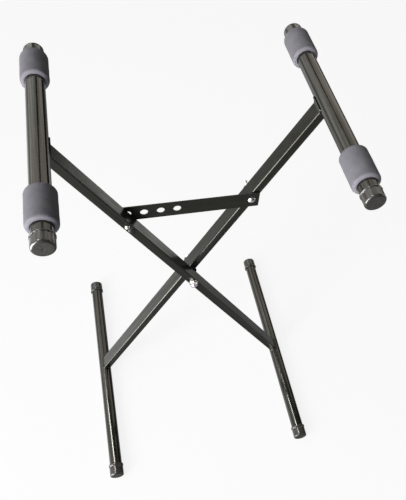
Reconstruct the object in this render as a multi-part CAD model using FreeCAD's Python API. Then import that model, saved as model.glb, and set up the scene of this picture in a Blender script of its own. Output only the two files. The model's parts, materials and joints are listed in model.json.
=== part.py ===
import FreeCAD, Part

import math
import os

# Folding keyboard stand: two crossed legs on one bolt, held open by a strap with holes.
# Frame: +X to the right, +Y from front to rear, +Z up. The origin is on the floor, midway
# between the feet. The front leg runs from upper left to lower right, the rear leg mirrors it.
# All sizes are in millimetres.

# ---- overall stance, with the strap on its last hole ----
support_axis_height = 816.0
support_half_spacing = 233.5
foot_half_spacing = 224.5

# ---- legs: rectangular tube, wide faces up and down ----
leg_width = 17.0
leg_depth = 30.0
leg_wall = 1.5
leg_corner = 2.4
leg_gap = 3.5

# ---- support tubes at the top ----
support_radius = 16.0
support_wall = 1.5
support_front_reach = 214.0
support_rear_reach = 223.0

# ---- foot tubes at the bottom ----
foot_radius = 14.0
foot_wall = 1.5
foot_reach = 273.0

# ---- saddle plates between the legs and the support tubes ----
saddle_thickness = 2.0
saddle_length = 38.0
saddle_arc = 116.0
saddle_corner = 4.0

# ---- weld beads ----
weld_size = 2.4
weld_fit = 0.02

# ---- foam sleeves ----
foam_thickness = 7.5
foam_length = 66.0
foam_edge = 6.0
foam_bore_edge = 1.2
foam_fit = 0.15
foam_front_neck = 15.0
foam_cap_gap = 0.5

# ---- fluted caps on the support tubes ----
support_cap_wall = 1.2
support_cap_length = 21.5
support_cap_end = 3.0
support_cap_edge = 3.8
support_cap_lip = 0.8
support_cap_lip_length = 2.6
support_cap_lip_edge = 0.48
support_cap_flutes = 14
support_cap_flute_start = 5.2
support_cap_flute_length = 12.7
support_cap_flute_width = 5.0
support_cap_flute_depth = 0.5
support_cap_flute_corner = 1.0

# ---- rubber caps on the foot tubes ----
foot_cap_wall = 1.6
foot_cap_tread_depth = 0.4
foot_cap_length = 27.0
foot_cap_end = 3.5
foot_cap_edge = 3.0
foot_cap_ring_wall = 2.7
foot_cap_ring_length = 5.0
foot_cap_ring_edge = 1.0

cap_fit = 0.05

# ---- pivot: bolt, bushes, washers, spacer and nut ----
pivot_bolt_radius = 3.98
pivot_bolt_length = 75.0
pivot_running_fit = 0.05
pivot_bush_radius = 6.0
bush_fit = 0.03
pivot_head_flats = 13.0
pivot_head_height = 5.3
pivot_nut_flats = 13.0
pivot_nut_height = 6.5
pivot_washer_radius = 9.0
pivot_washer_thickness = 1.4
pivot_spacer_radius = 12.0
face_gap = 0.2

# ---- locking strap and its bolt, measured up the rear leg from the pivot ----
strap_bolt_rise = 235.0
strap_width = 35.5
strap_thickness = 2.0
strap_corner = 1.5
strap_end_margin = 14.5
strap_far_margin = 17.0
strap_front_clearance = 0.5
strap_hole_pitch = 30.5
strap_hole_count = 4
strap_hole_radius = 7.3
strap_bolt_radius = 2.95
strap_bolt_length = 50.0
strap_head_radius = 7.2
strap_head_height = 4.2
strap_running_fit = 0.08
strap_bush_radius = 4.5
strap_washer_radius = 8.0
strap_washer_outer_thickness = 1.2
strap_nut_flats = 10.0
strap_nut_height = 5.0

# ---- locking stud, measured up the front leg from the pivot ----
stud_rise = 242.0
stud_radius = 4.0
stud_head_radius = 4.8
stud_head_height = 4.4
stud_strap_clearance = 0.3
stud_block_length = 36.0
stud_block_fit = 0.1
stud_block_corner = 1.4
rivet_drop = 15.0
rivet_radius = 2.4
rivet_head_radius = 7.4
rivet_head_height = 2.2

# ---- what all the bolts, nuts, studs and rivets share ----
fastener_fit = 0.05
bolt_end_chamfer = 0.8
hex_chamfer_angle = 30.0
hex_chamfer_inset = 0.26
head_overlap = 0.5

# ---- how the shapes are worked ----
over_cut = 1.0
same_place = 0.001

# ---- sizes and places worked out from the sizes above ----
foam_radius = support_radius + foam_thickness
support_cap_radius = support_radius + support_cap_wall
foot_cap_radius = foot_radius + foot_cap_wall
foot_cap_ring_radius = foot_radius + foot_cap_ring_wall
foot_axis_height = foot_cap_radius - foot_cap_tread_depth

span_x = support_half_spacing + foot_half_spacing
span_z = support_axis_height - foot_axis_height
leg_span = math.hypot(span_x, span_z)
lean = math.degrees(math.atan2(span_x, span_z))
leg_low = leg_span * foot_half_spacing / span_x
leg_high = leg_span - leg_low
pivot_height = foot_axis_height + leg_low * math.cos(math.radians(lean))

front_leg_back = -leg_gap / 2.0
front_leg_front = front_leg_back - leg_depth
rear_leg_front = leg_gap / 2.0
rear_leg_back = rear_leg_front + leg_depth

saddle_inner_radius = support_radius + weld_fit
saddle_outer_radius = saddle_inner_radius + saddle_thickness

strap_front = front_leg_back + strap_front_clearance
strap_back = strap_front + strap_thickness

foam_front_start = -support_front_reach + support_cap_length + foam_front_neck
foam_rear_start = support_rear_reach - support_cap_length - foam_cap_gap - foam_length

LEFT = -1
RIGHT = 1
Y_AXIS = FreeCAD.Vector(0.0, 1.0, 0.0)


def cylinder_y(radius, y_start, y_end, x=0.0, z=0.0):
    """A cylinder along Y between two values of Y."""
    base = FreeCAD.Vector(x, y_start, z)
    return Part.makeCylinder(radius, y_end - y_start, base, Y_AXIS)


def tube_y(outer_radius, inner_radius, y_start, y_end, x=0.0, z=0.0):
    """A round tube along Y."""
    outer = cylinder_y(outer_radius, y_start, y_end, x, z)
    inner = cylinder_y(inner_radius, y_start - over_cut, y_end + over_cut, x, z)
    return outer.cut(inner)


def edges_round_at(shape, y_value, radius):
    """Full circles of one radius that lie at one value of Y."""
    found = []
    for edge in shape.Edges:
        curve = edge.Curve
        if not isinstance(curve, Part.Circle):
            continue
        if abs(curve.Radius - radius) < same_place and abs(curve.Center.y - y_value) < same_place:
            found.append(edge)
    return found


def upright_edges(block):
    """The straight edges of a box that run along Z."""
    found = []
    for edge in block.Edges:
        start = edge.Vertexes[0].Point
        end = edge.Vertexes[1].Point
        if abs(start.x - end.x) < same_place and abs(start.y - end.y) < same_place:
            found.append(edge)
    return found


def rounded_bar(width, depth, low, high, radius, y_start):
    """An upright bar with rounded long edges, centred on X, from z = -low to z = high."""
    corner = FreeCAD.Vector(-width / 2.0, y_start, -low)
    bar = Part.makeBox(width, depth, low + high, corner)
    return bar.makeFillet(radius, upright_edges(bar))


def lean_leg(shape, side):
    """Turn a shape drawn on an upright leg, with the pivot at its origin, into its place."""
    placed = shape.copy()
    placed.rotate(FreeCAD.Vector(0.0, 0.0, 0.0), Y_AXIS, side * lean)
    placed.translate(FreeCAD.Vector(0.0, 0.0, pivot_height))
    return placed


def on_leg(rise, side):
    """The X and Z of a point on a leg's centre line, a distance above the pivot."""
    x = side * rise * math.sin(math.radians(lean))
    z = pivot_height + rise * math.cos(math.radians(lean))
    return x, z


def hexagon_y(flats, y_start, y_end, chamfered_ends):
    """A hexagonal prism along Y, with its corners cut back at the ends named -1 or 1."""
    corner_radius = flats / math.sqrt(3.0)
    points = []
    for index in range(7):
        angle = math.radians(60.0 * index)
        x = corner_radius * math.cos(angle)
        z = corner_radius * math.sin(angle)
        points.append(FreeCAD.Vector(x, y_start, z))
    face = Part.Face(Part.makePolygon(points))
    prism = face.extrude(FreeCAD.Vector(0.0, y_end - y_start, 0.0))
    slope = math.tan(math.radians(hex_chamfer_angle))
    reach = (y_end - y_start) / slope
    for end in chamfered_ends:
        y_face = y_end if end > 0 else y_start
        base = FreeCAD.Vector(0.0, y_face, 0.0)
        direction = FreeCAD.Vector(0.0, -end, 0.0)
        small_radius = flats / 2.0 - hex_chamfer_inset
        large_radius = small_radius + reach
        cone = Part.makeCone(small_radius, large_radius, y_end - y_start, base, direction)
        prism = prism.common(cone)
    return prism


def dome_y(radius, height, y_flat, direction):
    """A shallow dome: its flat side at y_flat, its crown towards direction (1 or -1)."""
    sphere_radius = (radius * radius + height * height) / (2.0 * height)
    y_centre = y_flat + direction * (height - sphere_radius)
    sphere = Part.makeSphere(sphere_radius, FreeCAD.Vector(0.0, y_centre, 0.0))
    if direction > 0:
        keep = cylinder_y(radius + over_cut, y_flat, y_flat + height + over_cut)
    else:
        keep = cylinder_y(radius + over_cut, y_flat - height - over_cut, y_flat)
    return sphere.common(keep)


def bolt_shank_y(radius, y_start, y_end, chamfered_end):
    """A shank along Y with one chamfered end."""
    shank = cylinder_y(radius, y_start, y_end)
    y_face = y_end if chamfered_end > 0 else y_start
    return shank.makeChamfer(bolt_end_chamfer, edges_round_at(shank, y_face, radius))


# ---------------------------------------------------------------- legs

def leg_tube(side, y_start, hole_list):
    """One leg: a hollow bar, coped to the saddle at the top and the foot tube at the bottom."""
    outer = rounded_bar(leg_width, leg_depth, leg_low, leg_high, leg_corner, y_start)
    inner_width = leg_width - 2.0 * leg_wall
    inner_depth = leg_depth - 2.0 * leg_wall
    inner_corner = leg_corner - leg_wall
    inner = rounded_bar(inner_width, inner_depth, leg_low + over_cut, leg_high + over_cut,
                        inner_corner, y_start + leg_wall)
    leg = outer.cut(inner)
    for rise, radius, hole_start, hole_end in hole_list:
        leg = leg.cut(cylinder_y(radius, hole_start, hole_end, 0.0, rise))
    cut_start = y_start - over_cut
    cut_end = y_start + leg_depth + over_cut
    top = cylinder_y(saddle_outer_radius + weld_fit, cut_start, cut_end, 0.0, leg_high)
    bottom = cylinder_y(foot_radius + weld_fit, cut_start, cut_end, 0.0, -leg_low)
    leg = leg.cut(top).cut(bottom)
    return lean_leg(leg, side)


def saddle_plate(side, y_start):
    """A plate bent round the support tube, wider than the leg that is welded to it."""
    y_middle = y_start + leg_depth / 2.0
    y_low = y_middle - saddle_length / 2.0
    y_high = y_middle + saddle_length / 2.0
    ring = tube_y(saddle_outer_radius, saddle_inner_radius, y_low, y_high, 0.0, leg_high)
    half_arc = math.radians(saddle_arc / 2.0)
    width = 2.0 * saddle_outer_radius * math.sin(half_arc)
    height = saddle_outer_radius - saddle_outer_radius * math.cos(half_arc) + over_cut
    corner = FreeCAD.Vector(-width / 2.0, y_low, leg_high - saddle_outer_radius - over_cut)
    outline = Part.makeBox(width, saddle_length, height, corner)
    outline = outline.makeFillet(saddle_corner, upright_edges(outline))
    return lean_leg(ring.common(outline), side)


def weld_bead(side, y_start, seat_radius, seat_rise, direction):
    """A bead round the leg's end, lying on the round surface that the leg is welded to."""
    wide = leg_width + 2.0 * weld_size
    deep = leg_depth + 2.0 * weld_size
    reach = seat_radius + weld_size
    base_z = seat_rise - reach if direction > 0 else seat_rise
    corner = FreeCAD.Vector(-wide / 2.0, y_start - weld_size, base_z)
    block = Part.makeBox(wide, deep, reach, corner)
    block = block.makeFillet(leg_corner + weld_size, upright_edges(block))
    cut_start = y_start - weld_size - over_cut
    cut_end = y_start + leg_depth + weld_size + over_cut
    shell = cylinder_y(reach, cut_start, cut_end, 0.0, seat_rise)
    seat = cylinder_y(seat_radius + weld_fit, cut_start, cut_end, 0.0, seat_rise)
    hole = rounded_bar(leg_width + 2.0 * weld_fit, leg_depth + 2.0 * weld_fit, leg_low, leg_high,
                       leg_corner, y_start - weld_fit)
    return lean_leg(block.common(shell).cut(seat).cut(hole), side)


# ---------------------------------------------------------------- tubes, foams and caps

def support_tube(side):
    """The bare length that carries the foams, closed by the caps."""
    x = side * support_half_spacing
    y_start = -support_front_reach + support_cap_end
    y_end = support_rear_reach - support_cap_end
    return tube_y(support_radius, support_radius - support_wall, y_start, y_end, x, support_axis_height)


def foot_tube(side):
    """A plain tube on the floor, closed by the caps."""
    x = side * foot_half_spacing
    y_end = foot_reach - foot_cap_end
    return tube_y(foot_radius, foot_radius - foot_wall, -y_end, y_end, x, foot_axis_height)


def foam_sleeve(side, y_start):
    """A thick soft sleeve with rounded ends, pushed over the support tube."""
    y_end = y_start + foam_length
    bore = support_radius + foam_fit
    sleeve = tube_y(foam_radius, bore, y_start, y_end)
    outer_edges = edges_round_at(sleeve, y_start, foam_radius) + edges_round_at(sleeve, y_end, foam_radius)
    sleeve = sleeve.makeFillet(foam_edge, outer_edges)
    inner_edges = edges_round_at(sleeve, y_start, bore) + edges_round_at(sleeve, y_end, bore)
    sleeve = sleeve.makeFillet(foam_bore_edge, inner_edges)
    sleeve.translate(FreeCAD.Vector(side * support_half_spacing, 0.0, support_axis_height))
    return sleeve


def cup(radius, bore, length, end, edge):
    """A cap drawn with its closed end at y = 0 and its mouth at y = length."""
    body = cylinder_y(radius, 0.0, length)
    body = body.makeFillet(edge, edges_round_at(body, 0.0, radius))
    return body.cut(cylinder_y(bore, end, length + over_cut))


def support_cap():
    """A push-on cap with a lip at its mouth and flutes along its side for the fingers to grip."""
    bore = support_radius + cap_fit
    cap = cup(support_cap_radius, bore, support_cap_length, support_cap_end, support_cap_edge)
    lip_start = support_cap_length - support_cap_lip_length
    lip_radius = support_cap_radius + support_cap_lip
    lip = tube_y(lip_radius, bore, lip_start, support_cap_length)
    lip_edges = edges_round_at(lip, lip_start, lip_radius)
    lip_edges = lip_edges + edges_round_at(lip, support_cap_length, lip_radius)
    cap = cap.fuse(lip.makeFillet(support_cap_lip_edge, lip_edges))
    flute_floor = support_cap_radius - support_cap_flute_depth
    corner = FreeCAD.Vector(-support_cap_flute_width / 2.0, support_cap_flute_start, flute_floor)
    flute = Part.makeBox(support_cap_flute_width, support_cap_flute_length, over_cut, corner)
    flute = flute.makeFillet(support_cap_flute_corner, upright_edges(flute))
    for index in range(support_cap_flutes):
        cutter = flute.copy()
        cutter.rotate(FreeCAD.Vector(0.0, 0.0, 0.0), Y_AXIS, index * 360.0 / support_cap_flutes)
        cap = cap.cut(cutter)
    return cap.removeSplitter()


def foot_cap():
    """A push-on cap with a thick ring at its mouth, drawn before its tread is cut flat."""
    bore = foot_radius + cap_fit
    cap = cup(foot_cap_radius, bore, foot_cap_length, foot_cap_end, foot_cap_edge)
    ring_start = foot_cap_length - foot_cap_ring_length
    ring = tube_y(foot_cap_ring_radius, bore, ring_start, foot_cap_length)
    ring_edges = edges_round_at(ring, ring_start, foot_cap_ring_radius)
    ring_edges = ring_edges + edges_round_at(ring, foot_cap_length, foot_cap_ring_radius)
    ring = ring.makeFillet(foot_cap_ring_edge, ring_edges)
    return cap.fuse(ring).removeSplitter()


def place_cap(cap, x, y_tip, z, towards_front):
    """Put a cap's closed end at y_tip, its mouth facing the tube."""
    placed = cap.copy()
    if not towards_front:
        placed.rotate(FreeCAD.Vector(0.0, 0.0, 0.0), FreeCAD.Vector(0.0, 0.0, 1.0), 180.0)
    placed.translate(FreeCAD.Vector(x, y_tip, z))
    return placed


def cut_tread(cap):
    """Cut a cap flat where it stands on the floor."""
    box = cap.BoundBox
    deep = foot_cap_ring_radius
    corner = FreeCAD.Vector(box.XMin - over_cut, box.YMin - over_cut, -deep)
    below = Part.makeBox(box.XLength + 2.0 * over_cut, box.YLength + 2.0 * over_cut, deep, corner)
    return cap.cut(below)


# ---------------------------------------------------------------- pivot

def at_pivot(shape):
    """Move a shape drawn round the Y axis to the pivot."""
    shape.translate(FreeCAD.Vector(0.0, 0.0, pivot_height))
    return shape


def pivot_pieces():
    """The bolt with its head at the rear and its nut at the front, and what lies between."""
    hole = pivot_bolt_radius + fastener_fit
    washer_front = front_leg_front - pivot_washer_thickness
    nut_front = washer_front - pivot_nut_height
    rear_washer_start = rear_leg_back + face_gap
    head_start = rear_washer_start + pivot_washer_thickness
    head_end = head_start + pivot_head_height
    bolt_end = head_start - pivot_bolt_length
    shank = bolt_shank_y(pivot_bolt_radius, bolt_end, head_start + head_overlap, -1)
    head = hexagon_y(pivot_head_flats, head_start, head_end, [1])
    nut = hexagon_y(pivot_nut_flats, nut_front, washer_front, [-1, 1])
    nut = nut.cut(cylinder_y(hole, nut_front - over_cut, washer_front + over_cut))
    spacer_end = rear_leg_front - face_gap
    running = pivot_bolt_radius + pivot_running_fit
    return {
        "pivot_bolt": at_pivot(shank.fuse(head)),
        "pivot_nut": at_pivot(nut),
        "pivot_washer_front": at_pivot(tube_y(pivot_washer_radius, hole, washer_front, front_leg_front)),
        "pivot_washer_rear": at_pivot(tube_y(pivot_washer_radius, hole, rear_washer_start, head_start)),
        "pivot_spacer": at_pivot(tube_y(pivot_spacer_radius, hole, front_leg_back, spacer_end)),
        "pivot_bush_front": at_pivot(tube_y(pivot_bush_radius, hole, front_leg_front, front_leg_back)),
        "pivot_bush_rear": at_pivot(tube_y(pivot_bush_radius, running, rear_leg_front, rear_leg_back)),
    }


# ---------------------------------------------------------------- strap and its bolt

def strap_slope(bolt, stud):
    """The strap's angle above level, seen from the front, pointing from its bolt to the stud."""
    return math.degrees(math.atan2(stud[1] - bolt[1], bolt[0] - stud[0]))


def lock_strap():
    """A flat bar with one bolt hole and a row of locking holes, the last one pulled against the stud."""
    bolt = on_leg(strap_bolt_rise, RIGHT)
    stud = on_leg(stud_rise, LEFT)
    stud_distance = math.hypot(bolt[0] - stud[0], bolt[1] - stud[1])
    far_hole = stud_distance - (strap_hole_radius - stud_radius)
    length = strap_end_margin + far_hole + strap_far_margin
    corner = FreeCAD.Vector(-far_hole - strap_far_margin, strap_front, -strap_width / 2.0)
    strap = Part.makeBox(length, strap_thickness, strap_width, corner)
    end_edges = []
    for edge in strap.Edges:
        if abs(edge.Length - strap_thickness) < same_place:
            end_edges.append(edge)
    strap = strap.makeFillet(strap_corner, end_edges)
    cut_start = strap_front - over_cut
    cut_end = strap_back + over_cut
    strap = strap.cut(cylinder_y(strap_bolt_radius + strap_running_fit, cut_start, cut_end))
    for index in range(strap_hole_count):
        x_hole = index * strap_hole_pitch - far_hole
        strap = strap.cut(cylinder_y(strap_hole_radius, cut_start, cut_end, x_hole, 0.0))
    strap.rotate(FreeCAD.Vector(0.0, 0.0, 0.0), Y_AXIS, strap_slope(bolt, stud))
    strap.translate(FreeCAD.Vector(bolt[0], 0.0, bolt[1]))
    return strap


def strap_bolt_pieces():
    """The round-headed bolt through the strap and the rear leg."""
    x, z = on_leg(strap_bolt_rise, RIGHT)
    place = FreeCAD.Vector(x, 0.0, z)
    hole = strap_bolt_radius + fastener_fit
    head_back = strap_front - face_gap
    washer_start = strap_back + face_gap
    outer_end = rear_leg_back + strap_washer_outer_thickness
    nut_end = outer_end + strap_nut_height
    bolt_end = head_back + strap_bolt_length
    shank = bolt_shank_y(strap_bolt_radius, head_back - head_overlap, bolt_end, 1)
    head = dome_y(strap_head_radius, strap_head_height, head_back, -1)
    nut = hexagon_y(strap_nut_flats, outer_end, nut_end, [-1, 1])
    nut = nut.cut(cylinder_y(hole, outer_end - over_cut, nut_end + over_cut))
    pieces = {
        "strap_bolt": shank.fuse(head),
        "strap_washer_inner": tube_y(strap_washer_radius, hole, washer_start, rear_leg_front),
        "strap_washer_outer": tube_y(strap_washer_radius, hole, rear_leg_back, outer_end),
        "strap_bush": tube_y(strap_bush_radius, hole, rear_leg_front, rear_leg_back),
        "strap_nut": nut,
    }
    for piece in pieces.values():
        piece.translate(place)
    return pieces


# ---------------------------------------------------------------- locking stud

def stud_pieces():
    """The stud, the block inside the leg that it passes through, and the rivet that holds the block."""
    head_back = front_leg_front
    stud_end = strap_front - stud_strap_clearance
    stud = cylinder_y(stud_radius, head_back - head_overlap, stud_end)
    stud = stud.fuse(dome_y(stud_head_radius, stud_head_height, head_back, -1))
    stud.translate(FreeCAD.Vector(0.0, 0.0, stud_rise))

    rivet_rise = stud_rise - rivet_drop
    inner_back = front_leg_back - leg_wall - stud_block_fit
    rivet = cylinder_y(rivet_radius, head_back - head_overlap, inner_back)
    rivet = rivet.fuse(dome_y(rivet_head_radius, rivet_head_height, head_back, -1))
    rivet.translate(FreeCAD.Vector(0.0, 0.0, rivet_rise))

    block_width = leg_width - 2.0 * (leg_wall + stud_block_fit)
    block_depth = leg_depth - 2.0 * (leg_wall + stud_block_fit)
    block_middle = (stud_rise + rivet_rise) / 2.0
    block_start = front_leg_front + leg_wall + stud_block_fit
    corner = FreeCAD.Vector(-block_width / 2.0, block_start, block_middle - stud_block_length / 2.0)
    block = Part.makeBox(block_width, block_depth, stud_block_length, corner)
    block = block.makeFillet(stud_block_corner, upright_edges(block))
    block = block.cut(cylinder_y(stud_radius + fastener_fit, front_leg_front, 0.0, 0.0, stud_rise))
    block = block.cut(cylinder_y(rivet_radius + fastener_fit, front_leg_front, 0.0, 0.0, rivet_rise))
    return {
        "lock_stud": lean_leg(stud, LEFT),
        "block_rivet": lean_leg(rivet, LEFT),
        "stud_block": lean_leg(block, LEFT),
    }


# ---------------------------------------------------------------- the whole stand

def front_leg_holes():
    """Holes in the front leg: height up the leg, radius, and the span of Y that they cut."""
    through_start = front_leg_front - over_cut
    through_end = front_leg_back + over_cut
    front_leg_middle = front_leg_front + leg_depth / 2.0
    return [
        (0.0, pivot_bush_radius + bush_fit, through_start, through_end),
        (stud_rise, stud_radius + fastener_fit, through_start, through_end),
        (stud_rise - rivet_drop, rivet_radius + fastener_fit, through_start, front_leg_middle),
    ]


def rear_leg_holes():
    """Holes in the rear leg, in the same form."""
    through_start = rear_leg_front - over_cut
    through_end = rear_leg_back + over_cut
    return [
        (0.0, pivot_bush_radius + bush_fit, through_start, through_end),
        (strap_bolt_rise, strap_bush_radius + bush_fit, through_start, through_end),
    ]


def frame_pieces(leg_name, side, y_start, holes):
    """One welded frame: its leg leans to one side at the top and to the other at the foot."""
    top_word = "left" if side == LEFT else "right"
    foot_side = -side
    foot_word = "right" if side == LEFT else "left"
    pieces = {
        leg_name: leg_tube(side, y_start, holes),
        "saddle_" + top_word: saddle_plate(side, y_start),
        "weld_saddle_" + top_word: weld_bead(side, y_start, saddle_outer_radius, leg_high, 1),
        "weld_foot_" + foot_word: weld_bead(side, y_start, foot_radius, -leg_low, -1),
        "support_tube_" + top_word: support_tube(side),
        "foot_tube_" + foot_word: foot_tube(foot_side),
        "foam_" + top_word + "_front": foam_sleeve(side, foam_front_start),
        "foam_" + top_word + "_rear": foam_sleeve(side, foam_rear_start),
    }
    cap = support_cap()
    x_top = side * support_half_spacing
    name = "support_cap_" + top_word
    pieces[name + "_front"] = place_cap(cap, x_top, -support_front_reach, support_axis_height, True)
    pieces[name + "_rear"] = place_cap(cap, x_top, support_rear_reach, support_axis_height, False)
    rubber = foot_cap()
    x_foot = foot_side * foot_half_spacing
    name = "foot_cap_" + foot_word
    pieces[name + "_front"] = cut_tread(place_cap(rubber, x_foot, -foot_reach, foot_axis_height, True))
    pieces[name + "_rear"] = cut_tread(place_cap(rubber, x_foot, foot_reach, foot_axis_height, False))
    return pieces


def build():
    """Every piece of the stand, by name."""
    pieces = {}
    pieces.update(frame_pieces("leg_front", LEFT, front_leg_front, front_leg_holes()))
    pieces.update(frame_pieces("leg_rear", RIGHT, rear_leg_front, rear_leg_holes()))
    pieces.update(pivot_pieces())
    pieces["lock_strap"] = lock_strap()
    pieces.update(strap_bolt_pieces())
    pieces.update(stud_pieces())
    return pieces


os.makedirs("parts", exist_ok=True)
stand = build()
for piece_name in sorted(stand):
    stand[piece_name].exportStep(os.path.join("parts", piece_name + ".step"))
    solids = stand[piece_name].Solids
    print(piece_name, len(solids), "solid", round(sum(solid.Volume for solid in solids), 1), "mm3")
print("lean", round(lean, 3), "pivot height", round(pivot_height, 3), "leg low", round(leg_low, 3),
      "leg high", round(leg_high, 3))
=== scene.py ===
import json
import math

import bmesh
import bpy
from mathutils import Matrix, Vector, noise


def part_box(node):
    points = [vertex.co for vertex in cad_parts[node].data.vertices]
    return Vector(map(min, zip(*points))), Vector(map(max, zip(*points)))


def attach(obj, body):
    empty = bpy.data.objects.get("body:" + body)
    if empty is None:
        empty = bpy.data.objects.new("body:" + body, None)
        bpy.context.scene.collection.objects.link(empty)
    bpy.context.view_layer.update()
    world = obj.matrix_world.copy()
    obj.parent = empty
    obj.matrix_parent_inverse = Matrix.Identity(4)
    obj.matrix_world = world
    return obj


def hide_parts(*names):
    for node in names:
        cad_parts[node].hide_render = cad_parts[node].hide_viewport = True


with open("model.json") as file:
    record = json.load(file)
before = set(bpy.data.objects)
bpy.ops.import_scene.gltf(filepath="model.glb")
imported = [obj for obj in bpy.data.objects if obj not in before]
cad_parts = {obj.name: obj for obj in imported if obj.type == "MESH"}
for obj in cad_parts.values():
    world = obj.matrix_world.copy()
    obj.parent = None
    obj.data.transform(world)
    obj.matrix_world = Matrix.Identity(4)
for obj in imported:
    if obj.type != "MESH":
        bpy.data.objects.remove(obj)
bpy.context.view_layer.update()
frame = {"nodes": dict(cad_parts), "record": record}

nodes = frame["nodes"]


# ---------------------------------------------------------------- the two legs
# Each leg is one length of rectangular steel tube, coped at both ends to sit on round tube.
# They cross at the pivot, the front leg running from upper left to lower right.
# The whole weldment is powder coated black, so the skin has a fine orange peel and some dust.

LEG_LEAN = math.radians(29.766)
LEG_COLOUR = (0.012, 0.0116, 0.0100)
BARE_STEEL = (0.42, 0.41, 0.40)
DUST_ON_PAINT = (0.30, 0.28, 0.25)
# How much of the pattern is taken out along the lines in the steel, which draws them out long.
LINE_SQUEEZE = 0.985
# Where a mix node keeps its two colours among its inputs, and its colour among its outputs.
MIX_COLOURS = (6, 7)
MIX_RESULT = 2


def shader_group(title, inputs, outputs):
    """An empty node group with named sockets, and its two end nodes."""
    group = bpy.data.node_groups.new(title, "ShaderNodeTree")
    for name, kind, value in inputs:
        socket = group.interface.new_socket(name, in_out="INPUT", socket_type="NodeSocket" + kind)
        socket.default_value = value
    for name, kind in outputs:
        group.interface.new_socket(name, in_out="OUTPUT", socket_type="NodeSocket" + kind)
    return group, group.nodes.new("NodeGroupInput"), group.nodes.new("NodeGroupOutput")


def feed(tree, socket, value):
    """Link another node's output to a socket, or set the socket to a plain value."""
    if isinstance(value, bpy.types.NodeSocket):
        tree.links.new(value, socket)
    else:
        socket.default_value = value


def add_node(tree, kind, settings=None, **values):
    """A node with its settings, and its sockets fed by name."""
    node = tree.nodes.new("ShaderNode" + kind)
    for name, value in (settings or {}).items():
        setattr(node, name, value)
    for name, value in values.items():
        feed(tree, node.inputs[name.replace("_", " ")], value)
    return node


def calculate(tree, operation, first, second):
    """One step of arithmetic on two values or sockets."""
    node = add_node(tree, "Math", {"operation": operation})
    feed(tree, node.inputs[0], first)
    feed(tree, node.inputs[1], second)
    return node.outputs[0]


def vector_step(tree, operation, first, second):
    """One step of arithmetic on vectors, where a scale takes a plain value second."""
    node = add_node(tree, "VectorMath", {"operation": operation})
    feed(tree, node.inputs[0], first)
    feed(tree, node.inputs["Scale"] if operation == "SCALE" else node.inputs[1], second)
    return node.outputs["Value" if operation == "DOT_PRODUCT" else "Vector"]


def blend_colour(tree, factor, first, second):
    """A mix of two colours, each a socket or three numbers."""
    node = add_node(tree, "Mix", {"data_type": "RGBA"}, Factor=factor)
    for index, colour in zip(MIX_COLOURS, (first, second)):
        feed(tree, node.inputs[index], (*colour, 1.0) if isinstance(colour, tuple) else colour)
    return node.outputs[MIX_RESULT]


def remap(tree, value, low, high, to_low, to_high, curve="LINEAR"):
    """A value taken from one range to another and held inside it."""
    node = add_node(tree, "MapRange", {"interpolation_type": curve}, Value=value, From_Min=low, From_Max=high,
                    To_Min=to_low, To_Max=to_high)
    return node.outputs["Result"]


def speckle(tree, scale, detail, roughness=0.5, place=None):
    """Noise in the piece's own space, or at another place that is given."""
    if place is None:
        place = add_node(tree, "TexCoord").outputs["Object"]
    node = add_node(tree, "TexNoise", None, Vector=place, Scale=scale, Detail=detail, Roughness=roughness)
    return node.outputs["Fac"]


def powder_skin_group():
    """Orange peel, and patches where the coat cured a little duller."""
    group, inlet, outlet = shader_group(
        "Powder coat skin",
        [("Peel scale", "Float", 700.0), ("Dull scale", "Float", 30.0),
         ("Gloss roughness", "Float", 0.2), ("Dull roughness", "Float", 0.4)],
        [("Roughness", "Float"), ("Height", "Float")])
    peel = speckle(group, inlet.outputs["Peel scale"], detail=2.0)
    dull = speckle(group, inlet.outputs["Dull scale"], detail=5.0, roughness=0.62)
    rough = remap(group, dull, 0.36, 0.66, inlet.outputs["Gloss roughness"], inlet.outputs["Dull roughness"])
    group.links.new(rough, outlet.inputs["Roughness"])
    group.links.new(peel, outlet.inputs["Height"])
    return group


def worn_edges_group():
    """White where an outer edge has been rubbed, broken up by noise."""
    group, inlet, outlet = shader_group(
        "Worn edges",
        [("Width", "Float", 0.0008), ("Break up scale", "Float", 220.0), ("Amount", "Float", 0.5)],
        [("Mask", "Float")])
    round_normal = add_node(group, "Bevel", {"samples": 4}, Radius=inlet.outputs["Width"]).outputs["Normal"]
    flat_normal = add_node(group, "NewGeometry").outputs["Normal"]
    turn = vector_step(group, "DOT_PRODUCT", round_normal, flat_normal)
    edge = remap(group, turn, 0.97, 0.8, 0.0, 1.0)
    broken = speckle(group, inlet.outputs["Break up scale"], detail=6.0, roughness=0.7)
    kept = remap(group, broken, 0.5, 0.68, 0.0, 1.0)
    mask = calculate(group, "MULTIPLY", calculate(group, "MULTIPLY", edge, kept), inlet.outputs["Amount"])
    group.links.new(mask, outlet.inputs["Mask"])
    return group


def settled_dust_group():
    """White on upward faces where dust has settled."""
    group, inlet, outlet = shader_group(
        "Settled dust", [("Patch scale", "Float", 45.0), ("Amount", "Float", 0.3)], [("Mask", "Float")])
    upright = add_node(group, "SeparateXYZ", None, Vector=add_node(group, "NewGeometry").outputs["Normal"])
    facing = remap(group, upright.outputs["Z"], 0.1, 0.95, 0.0, 1.0)
    patches = speckle(group, inlet.outputs["Patch scale"], detail=8.0, roughness=0.68)
    kept = remap(group, patches, 0.34, 0.8, 0.0, 1.0)
    mask = calculate(group, "MULTIPLY", calculate(group, "MULTIPLY", facing, kept), inlet.outputs["Amount"])
    group.links.new(mask, outlet.inputs["Mask"])
    return group


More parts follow.
